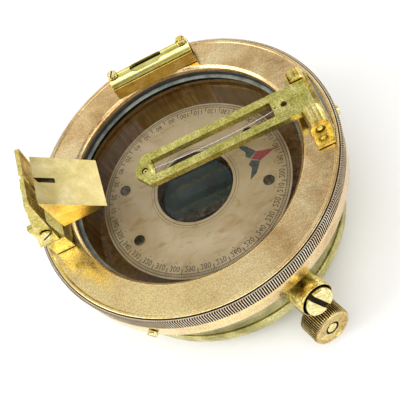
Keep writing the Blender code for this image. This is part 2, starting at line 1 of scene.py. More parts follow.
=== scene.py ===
"""Looks of the prismatic sighting compass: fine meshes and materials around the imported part.

Pieces are made in millimetres and scaled to metres when they are finished. The frame is the
part's own: +Z is up, and +X points from the prism, over the card, to the sight's hinge.
"""
import math

import bmesh
import bpy
from mathutils import Matrix, Vector


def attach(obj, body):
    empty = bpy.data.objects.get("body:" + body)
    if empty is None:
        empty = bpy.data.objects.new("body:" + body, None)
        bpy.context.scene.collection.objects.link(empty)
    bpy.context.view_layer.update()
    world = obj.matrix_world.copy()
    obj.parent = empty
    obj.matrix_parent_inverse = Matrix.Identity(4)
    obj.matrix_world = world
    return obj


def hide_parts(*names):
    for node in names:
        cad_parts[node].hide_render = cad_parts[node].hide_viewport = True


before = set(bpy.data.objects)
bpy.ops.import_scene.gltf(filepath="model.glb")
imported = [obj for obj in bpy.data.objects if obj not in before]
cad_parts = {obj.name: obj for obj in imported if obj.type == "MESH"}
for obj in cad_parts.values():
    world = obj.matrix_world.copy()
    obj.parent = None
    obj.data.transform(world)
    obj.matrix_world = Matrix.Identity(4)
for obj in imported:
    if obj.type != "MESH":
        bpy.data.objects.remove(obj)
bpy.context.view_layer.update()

MM = 0.001
BIG = 288                   # steps round the large turned pieces
MID = 96                    # steps round the knob, the boss and other middling pieces
SMALL = 40                  # steps round screws, pins and their holes
CORNER_STEPS = 3            # steps round a softened corner
CORNER_SHARE = 0.42         # the most of an edge that a softened corner may take
BAND_STEPS = 360            # steps round the card's painted rings

# Ring, card, filler plug and clamp knob
RING_TOP = 58.0
RING_FACE = 57.6
RING_RADIUS = 65.0
ON_RING = 57.9
KNURL = (50.4, 57.5)
RING_TEETH = 432
RING_TOOTH_DEPTH = 0.6
RETAINER_HEIGHT = 46.3
RETAINER_AZIMUTHS = (0.0, 120.0, 240.0)
CARD_TOP = 41.0
CARD_RADIUS = 42.0
CARD_HOLE = 17.0
SCALE_RADIUS = 37.5                     # of the figures' middles
RIVET_SPOTS = {"rear_right": (-29.5, -13.3), "rear_left": (-29.5, 13.3),
               "front_right": (29.5, -13.3), "front_left": (29.5, 13.3)}
FILLER = (-67.0, 12.0, 73.0, 34.0)      # azimuth, slope, distance from the axis, height
FILLER_SLOT_TURN = 107.0
CLAMP = (-68.6, 8.0, 77.0, 16.5)
KNOB_TEETH = 56
KNOB_RADIUS = 8.4
KNOB_TOOTH_DEPTH = 0.75
TOOTH_SHAPE = (1.0, 1.0, 0.1, 0.0, 0.1, 1.0)       # shares of the depth, round one tooth
TOOTH_STEPS = len(TOOTH_SHAPE)

# Window: the glass between two seals, under a ring
CLAMPED_RADIUS = 53.4
LOWER_SEAL = (47.1, 47.7)
GLASS_DISC = (48.0, 50.6)
UPPER_SEAL = (50.9, 51.6)
GLASS_RING = (51.9, 54.2)
GLASS_IOR = 1.27                        # low, for a mirror that leaves the card in view
GLASS_DIRT = 0.02

# Folding sight
HINGE = (55.3, 62.3)
ARM_TOP = 64.6
ARM_BOTTOM = 61.7
ARM_HALF_WIDTH = 7.25
WINDOW = (-9.0, 42.5)
WINDOW_HALF_WIDTH = 3.65
WIRE_BOW = 1.4
WIRE_HEIGHT = 63.6
WIRE_STEPS = 30
WIRE_SCREW_X = -12.6
PEEP_HOLE_X = 47.3
PIN_HOLE = 1.5

# Spirit level
LEVEL_AXIS = (52.5, 63.0)
LEVEL_X = (-15.5, 22.5)
LEVEL_RADIUS = 4.2
LEVEL_SCREWS = (-13.0, 20.0)
LEVEL_PLUGS = ((-15.5, -9.6), (14.6, 22.5))
VIAL_WINDOW = (-5.0, 10.0)
VIAL_WINDOW_HALF_WIDTH = 2.7

# Prism and vane
BLOCK_TOP = 66.3
VANE_TOP = 93.5
VANE_FRONT = (-53.1, -49.9)             # X of its front at the block and at the top
VANE_FOOT = 77.4
VANE_THICKNESS = 1.8
VANE_SCREW = (-55.0, 73.0)
CHEEKS = ((-13.5, -11.7), (11.7, 13.5))
CASE_X = -48.4
CASE_Z = (70.0, 89.0)
CASE_HALF_WIDTH = 11.6
CASE_WALL = 1.0
CASE_SLIT = 1.1                         # half its width
LENS_HEIGHT = 76.0
PRISM_SIDE = 9.6
FOCUS_SCREW_HEIGHT = 80.2

# Camera, in metres, and lights: name, place, target, size and power
CAMERA_PLACE = (0.03936, -0.16347, 0.27073)
CAMERA_RIGHT = (0.8962, -0.2808, -0.3434)
CAMERA_UP = (0.4210, 0.7824, 0.4588)
CAMERA_BACK = (0.1398, -0.5557, 0.8195)
CAMERA_LENS = 60.93
LIGHTS = [
    ("key", (-0.75, -0.10, 0.60), (0, 0, 0.05), (0.6, 0.6), 3.8),
    ("fill", (0.60, -0.50, 0.45), (0, 0, 0.04), (0.6, 0.5), 1.3),
    ("side", (0.75, 0.50, 0.22), (-0.04, 0, 0.08), (0.6, 0.35), 1.1),
    ("top", (0.0, -0.35, 0.90), (0, 0, 0.04), (0.8, 0.5), 2.6),
]
WORLD_SHADE = (0.28, 0.27, 0.26)
WORLD_GLOW = (1.25, 1.24, 1.22)
WORLD_STRENGTH = 0.98


# ---------------------------------------------------------------- meshes

def lathe(profile, steps=BIG, wobble=None):
    """A closed solid of revolution about Z from a closed profile of (radius, height)."""
    bm = bmesh.new()
    rings = []
    for row, (radius, height) in enumerate(profile):
        if radius <= 0.0:
            rings.append([bm.verts.new((0.0, 0.0, height))])
            continue
        ring = []
        for step in range(steps):
            angle = 2 * math.pi * step / steps
            reach = radius + (wobble(row, step) if wobble else 0.0)
            ring.append(bm.verts.new((reach * math.cos(angle), reach * math.sin(angle), height)))
        rings.append(ring)
    for first, second in zip(rings, rings[1:] + rings[:1]):
        if len(first) == 1 and len(second) == 1:
            continue
        for step in range(steps):
            after = (step + 1) % steps
            corners = [first[step % len(first)], first[after % len(first)],
                       second[after % len(second)], second[step % len(second)]]
            bm.faces.new(list(dict.fromkeys(corners)))
    return bm


def soften(points, radius):
    """The same closed outline with each corner off the axis rounded by up to the radius."""
    made = []
    for index, point in enumerate(points):
        corner = Vector(point)
        before = Vector(points[index - 1]) - corner
        after = Vector(points[(index + 1) % len(points)]) - corner
        if corner.x <= 0.0 or before.length < 1e-6 or after.length < 1e-6:
            made.append(tuple(point))
            continue
        start = corner + before.normalized() * min(radius, before.length * CORNER_SHARE)
        end = corner + after.normalized() * min(radius, after.length * CORNER_SHARE)
        for step in range(CORNER_STEPS + 1):
            share = step / CORNER_STEPS
            bend = start * (1 - share) ** 2 + corner * 2 * share * (1 - share) + end * share ** 2
            made.append(tuple(bend))
    return made


def arc(centre, radius, start, end, steps):
    """Points along part of a circle, between two angles in degrees."""
    points = []
    for index in range(steps + 1):
        angle = math.radians(start + (end - start) * index / steps)
        points.append((centre[0] + radius * math.cos(angle), centre[1] + radius * math.sin(angle)))
    return points


def slab(outline, axis, low, high):
    """A straight solid from an outline: (x, y) for axis Z, (x, z) for axis Y, (y, z) for X."""
    place = {
        "X": lambda a, b, depth: (depth, a, b),
        "Y": lambda a, b, depth: (a, depth, b),
        "Z": lambda a, b, depth: (a, b, depth),
    }[axis]
    bm = bmesh.new()
    verts = [bm.verts.new(place(a, b, low)) for a, b in outline]
    top = bmesh.ops.extrude_face_region(bm, geom=[bm.faces.new(verts)])
    moved = [part for part in top["geom"] if isinstance(part, bmesh.types.BMVert)]
    bmesh.ops.translate(bm, verts=moved, vec=Vector(place(0.0, 0.0, high - low)))
    return bm


def box(x_range, y_range, z_range):
    outline = [(x_range[0], y_range[0]), (x_range[1], y_range[0]), (x_range[1], y_range[1]),
               (x_range[0], y_range[1])]
    return slab(outline, "Z", *z_range)


def placed(bm, origin, direction, turn=0.0):
    """Stand a mesh on a point with its own Z axis along a direction."""
    facing = Vector(direction).to_track_quat("Z", "Y").to_matrix().to_4x4()
    spin = Matrix.Rotation(math.radians(turn), 4, "Z")
    bm.transform(Matrix.Translation(Vector(origin)) @ facing @ spin)
    return bm


def rod(radius, start, end, steps=SMALL, soft=0.0):
    """A round bar between two points, with its edges rounded."""
    along = Vector(end) - Vector(start)
    profile = [(0.0, 0.0), (radius, 0.0), (radius, along.length), (0.0, along.length)]
    if soft:
        profile = soften(profile, soft)
    return placed(lathe(profile, steps), start, along)


def outward(where):
    """The middle of a radial piece's face, and the direction out of the wall.

    A radial place is its azimuth, its slope, and its face's distance from the axis and height.
    """
    angle, rise = math.radians(where[0]), math.radians(where[1])
    direction = Vector((math.cos(angle) * math.cos(rise), math.sin(angle) * math.cos(rise), math.sin(rise)))
    return Vector((where[2] * math.cos(angle), where[2] * math.sin(angle), where[3])), direction


def radial(profile, where, steps=MID, wobble=None):
    """A turned piece on a radial axis; its profile's height is the distance out from the face."""
    return placed(lathe(profile, steps, wobble), *outward(where))


def out_and_across(spot, where):
    """How far a point lies out from a radial piece's face, and from the piece's axis."""
    point, direction = outward(where)
    away = spot - point
    out = away.dot(direction)
    return out, (away - direction * out).length


def from_axis(spot):
    return math.hypot(spot.x, spot.y)


def mesh_object(name, bm):
    """An object in metres from a mesh in millimetres."""
    bmesh.ops.remove_doubles(bm, verts=bm.verts, dist=1e-5)
    bmesh.ops.recalc_face_normals(bm, faces=bm.faces)
    bmesh.ops.scale(bm, vec=(MM, MM, MM), verts=bm.verts)
    mesh = bpy.data.meshes.new(name)
    bm.to_mesh(mesh)
    bm.free()
    item = bpy.data.objects.new(name, mesh)
    bpy.context.scene.collection.objects.link(item)
    return item


def bake_modifiers(item):
    """Turn the object's modifiers into its mesh."""
    bpy.context.view_layer.update()
    graph = bpy.context.evaluated_depsgraph_get()
    made = bpy.data.meshes.new_from_object(item.evaluated_get(graph))
    item.modifiers.clear()
    item.data = made


def carve(item, tools, operation):
    """Join each tool to the object, or cut it away."""
    for tool_mesh in tools:
        tool = mesh_object("tool", tool_mesh)
        modifier = item.modifiers.new(operation.lower(), "BOOLEAN")
        modifier.operation = operation
        modifier.solver = "EXACT"
        modifier.object = tool
        bake_modifiers(item)
        bpy.data.objects.remove(tool, do_unlink=True)


def piece(name, bm, material, body, nodes, joins=(), cuts=(), drills=(), bevel=0.0,
          sharp=35.0):
    """Finish a mesh as a visible piece that rides on a body and stands for some CAD nodes.

    Cuts are made before the edges are bevelled, and drills after.
    """
    item = mesh_object(name, bm)
    carve(item, joins, "UNION")
    carve(item, cuts, "DIFFERENCE")
    if bevel:
        edge = item.modifiers.new("bevel", "BEVEL")
        edge.width = bevel * MM
        edge.segments = 3
        edge.limit_method = "ANGLE"
        edge.angle_limit = math.radians(32)
        edge.use_clamp_overlap = True
        bake_modifiers(item)
    carve(item, drills, "DIFFERENCE")
    item.data.shade_smooth()
    item.data.set_sharp_from_angle(angle=math.radians(sharp))
    if bevel:
        weighted = item.modifiers.new("flat_faces", "WEIGHTED_NORMAL")
        weighted.keep_sharp = True
    item.data.materials.clear()
    item.data.materials.append(material)
    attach(item, body)
    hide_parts(*nodes)
    return item


def recolour(item, material, chosen):
    """Give another material to the faces whose centre, in millimetres, and normal pass a test."""
    item.data.materials.append(material)
    index = len(item.data.materials) - 1
    for face in item.data.polygons:
        if chosen(face.center / MM, face.normal):
            face.material_index = index


# ---------------------------------------------------------------- materials

class Shader:
    """A small helper that adds nodes to one material and links their inputs."""

    def __init__(self, name):
        self.material = bpy.data.materials.new(name)
        self.material.use_nodes = True
        self.tree = self.material.node_tree
        self.surface = self.tree.nodes["Principled BSDF"]
        coordinates = self.tree.nodes.new("ShaderNodeTexCoord")
        self.place = self.add("ShaderNodeVectorMath", {0: coordinates.outputs["Object"], 1: (1000.0,) * 3},
                              operation="MULTIPLY")

    def add(self, kind, inputs=None, out=0, **settings):
        """Make a node, set or link its inputs, and return one of its outputs."""
        made = self.tree.nodes.new(kind)
        for key, value in settings.items():
            setattr(made, key, value)
        for key, value in (inputs or {}).items():
            if isinstance(value, bpy.types.NodeSocket):
                self.tree.links.new(value, made.inputs[key])
            else:
                made.inputs[key].default_value = value
        return made.outputs[out]

    def noise(self, scale, detail=3.0, rough=0.55, stretch=None, turn=(0.0, 0.0, 0.0), warp=0.0):
        """Noise whose scale is in cycles per millimetre."""
        where = self.place
        if stretch:
            where = self.add("ShaderNodeMapping", {"Vector": self.place, "Scale": stretch,
                                                   "Rotation": [math.radians(a) for a in turn]})
        return self.add("ShaderNodeTexNoise", {"Vector": where, "Scale": scale, "Detail": detail,
                                               "Roughness": rough, "Distortion": warp})

    def ramp(self, value, *stops):
        """A colour ramp from (place, colour or grey) stops."""
        made = self.tree.nodes.new("ShaderNodeValToRGB")
        self.tree.links.new(value, made.inputs[0])
        points = made.color_ramp.elements
        while len(points) < len(stops):
            points.new(0.5)
        for point, (place, colour) in zip(points, stops):
            point.position = place
            point.color = (*colour, 1.0) if isinstance(colour, tuple) else (colour, colour, colour, 1.0)
        return made.outputs["Color"]

    def mix(self, share, first, second, blend="MIX"):
        """Mix two colours; a plain tuple is a colour."""
        made = self.tree.nodes.new("ShaderNodeMix")
        made.data_type = "RGBA"
        made.blend_type = blend
        for socket, value in ((made.inputs[0], share), (made.inputs[6], first), (made.inputs[7], second)):
            if isinstance(value, bpy.types.NodeSocket):
                self.tree.links.new(value, socket)
            elif isinstance(value, tuple):
                socket.default_value = (*value, 1.0)
            else:
                socket.default_value = value
        return made.outputs[2]

    def maths(self, operation, first, second=0.0):
        return self.add("ShaderNodeMath", {0: first, 1: second}, operation=operation)

    def level(self, value, low, high, new_low=0.0, new_high=1.0):
        return self.add("ShaderNodeMapRange", {"Value": value, "From Min": low, "From Max": high,
                                               "To Min": new_low, "To Max": new_high})

    def axis(self, index):
        return self.add("ShaderNodeSeparateXYZ", {0: self.place}, out=index)

    def radius(self):
        flat = self.add("ShaderNodeVectorMath", {0: self.place, 1: (1.0, 1.0, 0.0)}, operation="MULTIPLY")
        return self.add("ShaderNodeVectorMath", {0: flat}, out="Value", operation="LENGTH")

    def finish(self, colour, roughness, metallic=1.0, bump=None, bump_height=0.02, **sockets):
        """Link the surface's inputs; other sockets are named with _ for each space."""
        links = self.tree.links
        links.new(colour, self.surface.inputs["Base Color"])
        if isinstance(roughness, bpy.types.NodeSocket):
            links.new(roughness, self.surface.inputs["Roughness"])
        else:
            self.surface.inputs["Roughness"].default_value = roughness
        self.surface.inputs["Metallic"].default_value = metallic
        for key, value in sockets.items():
            self.surface.inputs[key.replace("_", " ")].default_value = value
        if bump is not None:
            normal = self.add("ShaderNodeBump", {"Height": bump, "Strength": 1.0,
                                                 "Distance": bump_height * MM})
            links.new(normal, self.surface.inputs["Normal"])
        return self.material


def scratches(shader, amount):
    """Fine light scratches in three directions, as a 0 to 1 mask."""
    total = None
    for turn, stretch in ((25, (0.06, 2.2, 2.2)), (-38, (0.05, 2.8, 2.8)), (80, (0.08, 1.8, 1.8))):
        lines = shader.noise(1.0, 2.0, 0.6, stretch, (0, 0, turn), 0.2)
        mask = shader.level(lines, 0.70 - amount, 0.74, 0.0, 1.0)
        total = mask if total is None else shader.maths("MAXIMUM", total, mask)
    return total


def metal(name, dark, middle, light, rough, blotch=0.07, speckle=0.35, lines=0.03, tint=None,
          bump_height=0.012):
    """Aged polished metal: cloudy colour, fine speckle, painted shade in hollows, scratches and uneven
    gloss.
    """
    shader = Shader(name)
    clouds = shader.noise(blotch, 5.0, 0.62, warp=0.6)
    colour = shader.ramp(clouds, (0.30, dark), (0.50, middle), (0.70, light))
    if tint:
        colour = tint(shader, colour)
    grain = shader.noise(1.6, 4.0, 0.7)
    specks = shader.level(grain, 0.38, 0.62, 1.0 - speckle, 1.0 + speckle * 0.4)
    colour = shader.mix(1.0, colour, specks, "MULTIPLY")
    # Painted shade: the colour darkens towards dark brown where the ambient-occlusion node finds surfaces
    # close by, in hollows and next to other parts.
    hollow_shade = shader.add("ShaderNodeAmbientOcclusion", {"Distance": 3.5 * MM}, out="AO")
    colour = shader.mix(shader.level(hollow_shade, 0.2, 0.65), (0.05, 0.03, 0.012), colour)
    marks = scratches(shader, lines)
    colour = shader.mix(shader.maths("MULTIPLY", marks, 0.35), colour, light)
    patches = shader.noise(0.25, 5.0, 0.65)
    gloss = shader.level(patches, 0.3, 0.7, *rough)
    height = shader.maths("SUBTRACT", grain, shader.maths("MULTIPLY", marks, 0.6))
    return shader.finish(colour, gloss, bump=height, bump_height=bump_height)


def ring_tint(shader, colour):
    """Golden where the ring was handled by the prism, pink elsewhere, with a grey solder patch."""
    x, y = shader.axis(0), shader.axis(1)
    golden = shader.level(shader.maths("SUBTRACT", shader.maths("MULTIPLY", x, -1.0), y), 20.0, 75.0)
    edge = shader.maths("MULTIPLY", shader.noise(0.12, 4.0), 1.4)
    share = shader.maths("MULTIPLY", golden, edge)
    colour = shader.mix(shader.maths("MINIMUM", share, 1.0), colour, (0.96, 0.78, 0.36))
    beyond = shader.level(x, 59.9, 60.4)
    within = shader.level(shader.radius(), 62.3, 61.9)
    near = shader.level(shader.maths("ABSOLUTE", y), 13.0, 11.0)
    patch = shader.maths("MULTIPLY", shader.maths("MULTIPLY", beyond, within), near)
    return shader.mix(patch, colour, (0.42, 0.40, 0.36))


def make_metals():
    """Each metal's dark, middle and light colour, gloss, and the scale and strength of its wear."""
    return {
        "ring": metal("ring_bronze", (0.50, 0.31, 0.12), (0.82, 0.58, 0.28), (0.98, 0.80, 0.46),
                      (0.13, 0.32), 0.055, 0.28, 0.06, ring_tint),
        "knurl": metal("knurl_bronze", (0.82, 0.60, 0.38), (0.95, 0.77, 0.54), (1.0, 0.90, 0.72),
                       (0.25, 0.36)),
        "arm": metal("arm_brass", (0.44, 0.42, 0.08), (0.70, 0.64, 0.18), (0.86, 0.80, 0.34),
                     (0.24, 0.42), 0.12, 0.50, 0.04),
        "pale": metal("pale_brass", (0.43, 0.34, 0.12), (0.57, 0.47, 0.20), (0.72, 0.62, 0.34),
                      (0.16, 0.28), 0.06, 0.08, 0.03, None, 0.004),
        "cheek": metal("cheek_brass", (0.50, 0.40, 0.10), (0.80, 0.68, 0.22), (0.96, 0.86, 0.40),
                       (0.16, 0.34), 0.14, 0.35, 0.04),
        "level": metal("level_brass", (0.66, 0.56, 0.12), (0.88, 0.78, 0.24), (0.98, 0.90, 0.44),
                       (0.08, 0.20), 0.10, 0.18, 0.03),
        "gold": metal("gold_brass", (0.50, 0.31, 0.05), (0.78, 0.54, 0.12), (0.94, 0.76, 0.28),
                      (0.16, 0.30), 0.10, 0.14, 0.03),
        "bracket": metal("bracket_brass", (0.22, 0.14, 0.03), (0.74, 0.57, 0.16), (0.98, 0.86, 0.44),
                         (0.14, 0.30), 0.14, 0.35, 0.03),
        "wall": metal("wall_brass", (0.24, 0.21, 0.08), (0.46, 0.42, 0.18), (0.68, 0.62, 0.30),
                      (0.30, 0.50), 0.10, 0.40, 0.05),
        "base": metal("base_brass", (0.34, 0.30, 0.08), (0.62, 0.56, 0.20), (0.82, 0.76, 0.38),
                      (0.24, 0.42), 0.10, 0.45, 0.05),
        "boss": metal("boss_brass", (0.12, 0.07, 0.02), (0.76, 0.60, 0.16), (0.96, 0.84, 0.34),
                      (0.14, 0.32), 0.22, 0.45, 0.03),
        "knob": metal("knob_bronze", (0.16, 0.09, 0.03), (0.66, 0.48, 0.17), (0.96, 0.80, 0.40),
                      (0.20, 0.38), 0.16, 0.40, 0.03),
        "screw": metal("screw_brass", (0.62, 0.52, 0.16), (0.86, 0.76, 0.34), (0.98, 0.92, 0.58),
                       (0.16, 0.30), 0.4, 0.30, 0.03),
        "dark": metal("dark_metal", (0.03, 0.025, 0.02), (0.10, 0.08, 0.06), (0.26, 0.22, 0.16),
                      (0.30, 0.50), 0.3, 0.4, 0.03),
        # Painted shade: a near-black, dull paint put on grooves, slots, holes, inner walls and the gaps
        # between teeth.
        "dirt_and_shade": painted("recess_shade_paint", (0.010, 0.007, 0.004), (0.030, 0.020, 0.012), 0.7, 0.8,
                         Specular_IOR_Level=0.1),
        "steel": metal("steel", (0.30, 0.29, 0.27), (0.50, 0.49, 0.46), (0.66, 0.64, 0.60), (0.22, 0.40)),
        "wire": metal("wire_steel", (0.60, 0.60, 0.56), (0.78, 0.78, 0.74), (0.90, 0.90, 0.86),
                      (0.25, 0.35)),
    }


def painted(name, first, second, rough, scale=0.4, bump_height=0.03, **sockets):
    """Paint, rubber or fibre: two close colours in clouds with a fine grain."""
    shader = Shader(name)
    clouds = shader.noise(scale, 5.0, 0.6)
    colour = shader.ramp(clouds, (0.35, first), (0.65, second))
    grain = shader.noise(2.5, 3.0)
    return shader.finish(colour, rough, 0.0, grain, bump_height, **sockets)


def bowl_wall():
    """The stained brown inside of the bowl, with streaks that run down the wall."""
    shader = Shader("bowl_inside")
    streaks = shader.noise(0.5, 5.0, 0.7, (1.0, 1.0, 0.12), warp=0.5)
    clouds = shader.noise(0.06, 4.0, 0.6)
    colour = shader.ramp(streaks, (0.28, (0.10, 0.045, 0.01)), (0.50, (0.42, 0.20, 0.05)),
                         (0.74, (0.78, 0.50, 0.20)))
    colour = shader.mix(shader.level(clouds, 0.4, 0.7), colour, (0.46, 0.29, 0.10))
    return shader.finish(colour, 0.42, 0.0, streaks, 0.08)


def card_paint():
    """Old printed paint: tan and pinkish clouds, brown stains, faint rubbed marks."""
    shader = Shader("card_paint")
    clouds = shader.noise(0.045, 4.0, 0.55, warp=0.8)
    colour = shader.ramp(clouds, (0.32, (0.52, 0.35, 0.18)), (0.50, (0.66, 0.48, 0.28)),
                         (0.68, (0.76, 0.58, 0.38)))
    stains = shader.level(shader.noise(0.09, 4.0, 0.6, (1.0, 2.2, 1.0), (0, 0, 18), 0.9), 0.56, 0.68)
    colour = shader.mix(shader.maths("MULTIPLY", stains, 0.6), colour, (0.50, 0.27, 0.10))
    dirt = shader.level(shader.noise(0.5, 6.0, 0.75), 0.58, 0.72)
    colour = shader.mix(shader.maths("MULTIPLY", dirt, 0.25), colour, (0.24, 0.18, 0.10))
    grain = shader.noise(3.0, 3.0)
    return shader.finish(colour, 0.55, 0.0, grain, 0.02)


def clear_back(name, tint):
    """The far side of clear glass, which adds no reflection of its own."""
    material = bpy.data.materials.new(name)
    material.use_nodes = True
    tree = material.node_tree
    tree.nodes.remove(tree.nodes["Principled BSDF"])
    clear = tree.nodes.new("ShaderNodeBsdfTransparent")
    clear.inputs["Color"].default_value = (*tint, 1.0)
    tree.links.new(clear.outputs[0], tree.nodes["Material Output"].inputs["Surface"])
    return material


def glass(name, tint, gloss):
    """Clear glass with a faint film of dirt, which mirrors more at a low angle."""
    material = clear_back(name, tint)
    tree = material.node_tree
    clear = tree.nodes["Transparent BSDF"]
    mirror = tree.nodes.new("ShaderNodeBsdfGlossy")
    mirror.inputs["Roughness"].default_value = gloss
    rim = tree.nodes.new("ShaderNodeFresnel")
    rim.inputs["IOR"].default_value = GLASS_IOR
    dirt_and_shade = tree.nodes.new("ShaderNodeTexNoise")
    dirt_and_shade.inputs["Scale"].default_value = 90.0
    dirt_and_shade.inputs["Detail"].default_value = 6.0
    place = tree.nodes.new("ShaderNodeTexCoord")
    tree.links.new(place.outputs["Object"], dirt_and_shade.inputs["Vector"])
    share = tree.nodes.new("ShaderNodeMath")
    share.operation = "MULTIPLY_ADD"
    share.inputs[1].default_value = GLASS_DIRT
    tree.links.new(dirt_and_shade.outputs[0], share.inputs[0])
    tree.links.new(rim.outputs[0], share.inputs[2])
    mixed = tree.nodes.new("ShaderNodeMixShader")
    tree.links.new(share.outputs[0], mixed.inputs[0])
    tree.links.new(clear.outputs[0], mixed.inputs[1])
    tree.links.new(mirror.outputs[0], mixed.inputs[2])
    tree.links.new(mixed.outputs[0], tree.nodes["Material Output"].inputs["Surface"])
    return material


METALS = make_metals()
BLACK = painted("black_paint", (0.012, 0.012, 0.012), (0.035, 0.032, 0.028), 0.35)
RUBBER = painted("seal_rubber", (0.12, 0.14, 0.12), (0.34, 0.37, 0.32), 0.5, 0.15)
FIBRE = painted("fibre", (0.05, 0.035, 0.02), (0.12, 0.08, 0.05), 0.8, 1.5)
FLOAT = painted("float_lacquer", (0.004, 0.010, 0.010), (0.020, 0.038, 0.036), 0.22, 0.12)
INK = painted("ink", (0.015, 0.014, 0.012), (0.07, 0.06, 0.045), 0.6, 0.9)
RED_INK = painted("red_ink", (0.34, 0.035, 0.04), (0.50, 0.11, 0.10), 0.6, 1.1)
SLATE_INK = painted("slate_ink", (0.045, 0.055, 0.055), (0.13, 0.14, 0.13), 0.6, 0.8)
CARD = card_paint()
INSIDE = bowl_wall()
GLASS = glass("clear_glass", (0.93, 0.95, 0.93), 0.03)
GLASS_BACK = clear_back("clear_glass_back", (0.97, 0.98, 0.97))
PRISM_GLASS = glass("prism_glass", (0.75, 0.80, 0.78), 0.02)
VIAL_GLASS = painted("vial_glass", (0.38, 0.35, 0.09), (0.58, 0.53, 0.20), 0.06, 0.12, 0.002)


# ---------------------------------------------------------------- ring, bowl and base

def tooth(row, step, low_row, high_row, depth):
    """How far a point of a knurled band lies below its crest."""
    if not low_row <= row <= high_row:
        return 0.0
    return -depth * TOOTH_SHAPE[step % TOOTH_STEPS]


def make_verge_ring():
    low, high = KNURL
    profile = soften([
        (49.2, 54.6), (49.2, 56.4), (50.4, RING_FACE), (62.0, RING_FACE), (62.5, RING_TOP), (63.5, RING_TOP),
        (63.6, 56.4), (64.15, 56.4), (64.15, low + 0.2), (64.7, low - 0.3), (64.7, 42.5), (62.6, 42.5),
        (62.6, 54.6)], 0.3)
    hole = [(0.0, -3.2), (1.3, -3.2), (1.3, 2.0), (0.0, 2.0)]
    holes = [radial(hole, (azimuth, 0.0, 66.0, RETAINER_HEIGHT), SMALL) for azimuth in RETAINER_AZIMUTHS]
    ring = piece("verge_ring_body", lathe(profile), METALS["ring"], "sight_ring", ["verge_ring"],
                 cuts=holes)
    # Painted shade: the step between the ring's top and its knurled band is given the near-black material.
    recolour(ring, METALS["dirt_and_shade"],
             lambda spot, normal: 56.3 < spot.z < 57.9 and 63.4 < from_axis(spot) < 64.2)

    band = [(64.0, low), (64.6, low), (RING_RADIUS, low + 0.35), (RING_RADIUS, high - 0.3),
            (64.8, high), (63.95, high), (63.95, high - 1.0)]
    teeth = lathe(band, RING_TEETH * TOOTH_STEPS, lambda row, step: tooth(row, step, 2, 4, RING_TOOTH_DEPTH))
    knurl = piece("verge_ring_knurl", teeth, METALS["knurl"], "sight_ring", ["verge_ring"])
    # Painted shade: the valleys between the teeth and the band's underside are given the near-black
    # material.
    recolour(knurl, METALS["dirt_and_shade"],
             lambda spot, normal: spot.z < high - 0.05 and from_axis(spot) < RING_RADIUS - 0.25)
    for index, azimuth in enumerate(RETAINER_AZIMUTHS):
        where = outward((azimuth, 0.0, 66.6, RETAINER_HEIGHT))
        slotted_screw(f"retainer_{index + 1}", f"retaining_screw_{index + 1}", where, 2.0, 1.6, 1.0, 5.7,
                      35.0 + 50.0 * index)


def slotted_screw(name, node, where, head, head_height, shank, length, turn):
    """A cheese-head screw of the sight ring, its head's face at a point, with a driver slot."""
    profile = soften([(0.0, -length), (shank, -length), (shank, -head_height), (head, -head_height),
                      (head, 0.0), (0.0, 0.0)], 0.22)
    slot = box((-head - 1, head + 1), (-0.16 * head, 0.16 * head), (-0.32 * head, 1.0))
    piece(name, placed(lathe(profile, SMALL), *where), METALS["screw"], "sight_ring", [node],
          cuts=[placed(slot, *where, turn)])


def make_bowl():
    shell = [
        (0.0, 25.0), (0.0, 23.5), (4.0, 23.5), (4.0, 12.2), (18.0, 12.2), (18.0, 22.0), (42.0, 22.0),
        (42.0, 20.3), (46.3, 20.3), (46.3, 18.0), (50.0, 18.0), (50.0, 11.6), (53.0, 11.6), (53.0, 20.0),
        (58.0, 20.0), (58.0, 43.0), (62.3, 43.0), (62.3, 44.9), (60.4, 44.9), (60.4, 47.7), (62.3, 47.7),
        (62.3, 54.2), (53.7, 54.2), (53.7, 46.8), (50.3, 46.8), (50.3, 45.2), (52.0, 45.2), (52.0, 25.0)]
    boss = soften([(0.0, -17.5), (7.2, -17.5), (7.2, -2.0), (0.0, -2.0)], 0.4)
    recess = [(0.0, -5.6), (6.6, -5.6), (6.6, 3.0), (0.0, 3.0)]
    bore = [(0.0, -30.0), (3.2, -30.0), (3.2, 0.0), (0.0, 0.0)]
    ports = []
    for index in range(4):
        angle = math.radians(45.0 + 90.0 * index)
        spot = (30.0 * math.cos(angle), 30.0 * math.sin(angle))
        ports.append(rod(2.0, (*spot, 20.5), (*spot, 27.0), SMALL))
    bowl = piece("bowl_body", lathe(soften(shell, 0.3)), METALS["wall"], "bowl", ["bowl_shell"],
                 joins=[radial(boss, FILLER)],
                 cuts=[radial(recess, FILLER), radial(bore, FILLER, SMALL)] + ports)

    def on_boss(spot, radius):
        return from_axis(spot) > 58.1 and out_and_across(spot, FILLER)[1] < radius

    recolour(bowl, INSIDE, lambda spot, normal: 24.9 < spot.z < 54.0 and from_axis(spot) < 53.6)
    recolour(bowl, METALS["boss"], lambda spot, normal: on_boss(spot, 7.4))
    # Painted shade: the recess round the filler plug is given the near-black material.
    recolour(bowl, METALS["dirt_and_shade"], lambda spot, normal: on_boss(spot, 6.7))


